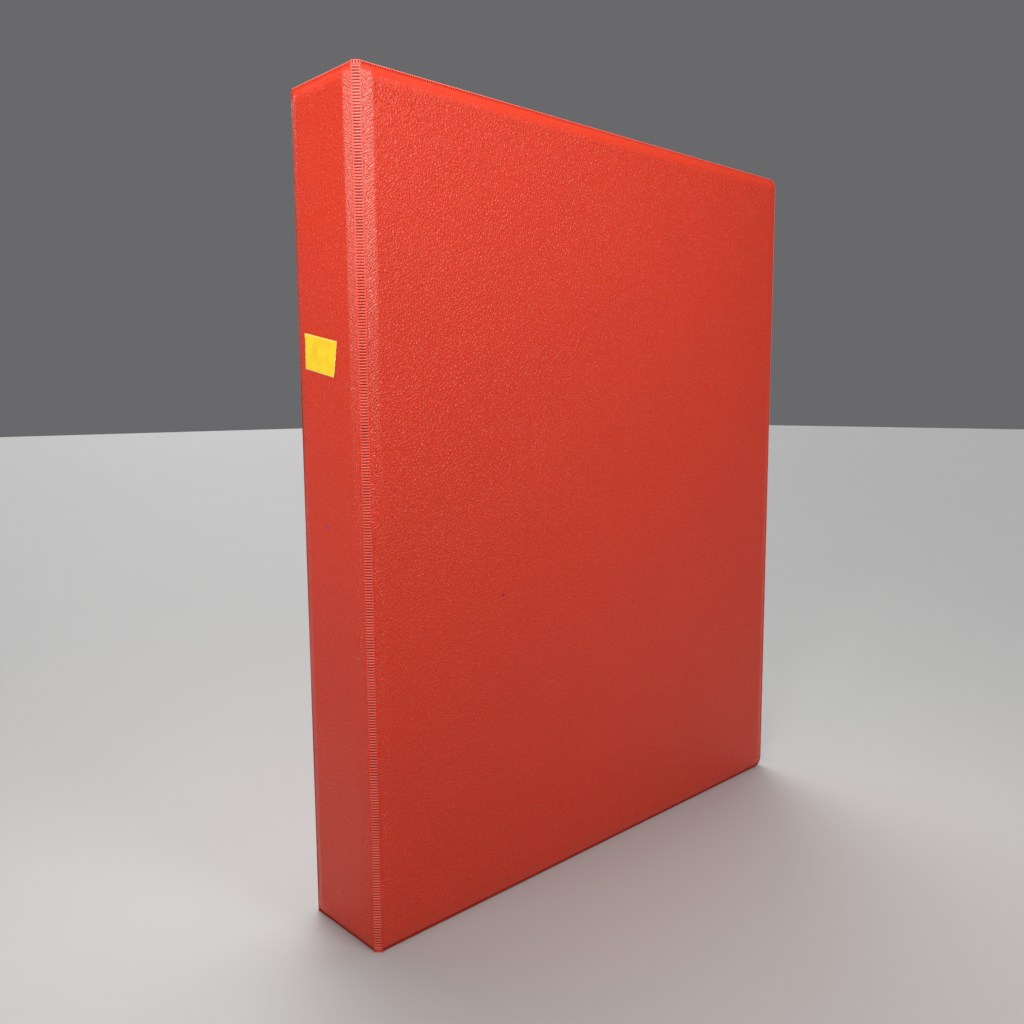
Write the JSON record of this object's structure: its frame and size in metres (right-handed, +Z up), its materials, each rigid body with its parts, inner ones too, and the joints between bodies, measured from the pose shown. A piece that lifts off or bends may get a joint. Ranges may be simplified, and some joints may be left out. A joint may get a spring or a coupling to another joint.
{
  "type": "stamp album",
  "caption": "Closed upright ring album for stamps: welded vinyl covers, ribbed hinges, D-ring mechanism with levers, and black stock leaves.",
  "frame": {"origin": "middle of the footprint, on the surface that the album stands on", "axes": "+X from the spine to the fore edge, -Y out of the front cover, +Z up"},
  "size_m": [0.2606, 0.0462, 0.315],
  "materials": {
    "red_vinyl": "satin, fine pebbled grain",
    "welded_vinyl": "satin, ribbed by the weld",
    "greyboard": "dull pressed board",
    "label_paper": "matt coated paper",
    "nickel_steel": "bright nickel plate",
    "black_card": "matt card with clear strips"
  },
  "bodies": {
    "spine": {"spine_outer_skin": "red_vinyl", "spine_board": "greyboard", "spine_inner_liner": "red_vinyl", "front_hinge_strip": "welded_vinyl", "back_hinge_strip": "welded_vinyl", "price_label": "label_paper"},
    "front_cover": {"front_outer_skin": "red_vinyl", "front_board": "greyboard", "front_inner_liner": "red_vinyl"},
    "back_cover": {"back_outer_skin": "red_vinyl", "back_board": "greyboard", "back_inner_liner": "red_vinyl", "ring_housing": "nickel_steel", "lever_pin_bottom": "nickel_steel", "lever_pin_top": "nickel_steel", "rivet_1": "nickel_steel", "rivet_2": "nickel_steel"},
    "spine_side_rings": {"blade_spine_side": "nickel_steel", "ring_arc_1": "nickel_steel", "ring_arc_2": "nickel_steel", "ring_arc_3": "nickel_steel", "ring_arc_4": "nickel_steel"},
    "fore_side_rings": {"blade_fore_side": "nickel_steel", "ring_post_1": "nickel_steel", "ring_post_2": "nickel_steel", "ring_post_3": "nickel_steel", "ring_post_4": "nickel_steel"},
    "bottom_lever": {"lever_bottom": "nickel_steel"},
    "top_lever": {"lever_top": "nickel_steel"},
    "leaf_1_body": {"leaf_1": "black_card"},
    "leaf_2_body": {"leaf_2": "black_card"},
    "leaf_3_body": {"leaf_3": "black_card"},
    "leaf_4_body": {"leaf_4": "black_card"},
    "leaf_5_body": {"leaf_5": "black_card"},
    "leaf_6_body": {"leaf_6": "black_card"},
    "leaf_7_body": {"leaf_7": "black_card"},
    "leaf_8_body": {"leaf_8": "black_card"}
  },
  "joints": [
    {"name": "front_hinge", "type": "hinge", "parent": "spine", "child": "front_cover", "pos_m": [-0.12795, -0.0213, 0.1575], "axis": [0, 0, -1], "range_deg": [0, 180]},
    {"name": "back_hinge", "type": "hinge", "parent": "spine", "child": "back_cover", "pos_m": [-0.12795, 0.0201, 0.1575], "axis": [0, 0, 1], "range_deg": [0, 180]},
    {"name": "spine_side_ring_opening", "type": "hinge", "parent": "back_cover", "child": "spine_side_rings", "pos_m": [-0.12165, 0.0163, 0.1575], "axis": [0, 0, -1], "range_deg": [0, 6]},
    {"name": "fore_side_ring_opening", "type": "hinge", "parent": "back_cover", "child": "fore_side_rings", "pos_m": [-0.08985, 0.0163, 0.1575], "axis": [0, 0, 1], "range_deg": [0, 6]},
    {"name": "bottom_lever_swing", "type": "hinge", "parent": "back_cover", "child": "bottom_lever", "pos_m": [-0.10575, 0.0162, 0.0225], "axis": [1, 0, 0], "range_deg": [0, 24]},
    {"name": "top_lever_swing", "type": "hinge", "parent": "back_cover", "child": "top_lever", "pos_m": [-0.10575, 0.0162, 0.2925], "axis": [-1, 0, 0], "range_deg": [0, 24]},
    {"name": "leaf_1_turn", "type": "hinge", "parent": "back_cover", "child": "leaf_1_body", "pos_m": [-0.10575, -0.0017, 0.1575], "axis": [0, 0, -1], "range_deg": [0, 126]},
    {"name": "leaf_2_turn", "type": "hinge", "parent": "back_cover", "child": "leaf_2_body", "pos_m": [-0.10575, -0.0017, 0.1575], "axis": [0, 0, -1], "range_deg": [0, 117.9]},
    {"name": "leaf_3_turn", "type": "hinge", "parent": "back_cover", "child": "leaf_3_body", "pos_m": [-0.10575, -0.0017, 0.1575], "axis": [0, 0, -1], "range_deg": [0, 109.8]},
    {"name": "leaf_4_turn", "type": "hinge", "parent": "back_cover", "child": "leaf_4_body", "pos_m": [-0.10575, -0.0017, 0.1575], "axis": [0, 0, -1], "range_deg": [0, 101.7]},
    {"name": "leaf_5_turn", "type": "hinge", "parent": "back_cover", "child": "leaf_5_body", "pos_m": [-0.10575, -0.0017, 0.1575], "axis": [0, 0, -1], "range_deg": [0, 93.6]},
    {"name": "leaf_6_turn", "type": "hinge", "parent": "back_cover", "child": "leaf_6_body", "pos_m": [-0.10575, -0.0017, 0.1575], "axis": [0, 0, -1], "range_deg": [0, 85.5]},
    {"name": "leaf_7_turn", "type": "hinge", "parent": "back_cover", "child": "leaf_7_body", "pos_m": [-0.10575, -0.0017, 0.1575], "axis": [0, 0, -1], "range_deg": [0, 77.4]},
    {"name": "leaf_8_turn", "type": "hinge", "parent": "back_cover", "child": "leaf_8_body", "pos_m": [-0.10575, -0.0017, 0.1575], "axis": [0, 0, -1], "range_deg": [0, 69.3]}
  ],
  "couplings": [
    {"joint": "fore_side_ring_opening", "follows": "spine_side_ring_opening", "ratio": 1},
    {"joint": "bottom_lever_swing", "follows": "spine_side_ring_opening", "ratio": 4},
    {"joint": "top_lever_swing", "follows": "spine_side_ring_opening", "ratio": 4},
    {"joint": "leaf_1_turn", "follows": "front_hinge", "ratio": 0.7},
    {"joint": "leaf_2_turn", "follows": "front_hinge", "ratio": 0.655},
    {"joint": "leaf_3_turn", "follows": "front_hinge", "ratio": 0.61},
    {"joint": "leaf_4_turn", "follows": "front_hinge", "ratio": 0.565},
    {"joint": "leaf_5_turn", "follows": "front_hinge", "ratio": 0.52},
    {"joint": "leaf_6_turn", "follows": "front_hinge", "ratio": 0.475},
    {"joint": "leaf_7_turn", "follows": "front_hinge", "ratio": 0.43},
    {"joint": "leaf_8_turn", "follows": "front_hinge", "ratio": 0.385}
  ]
}
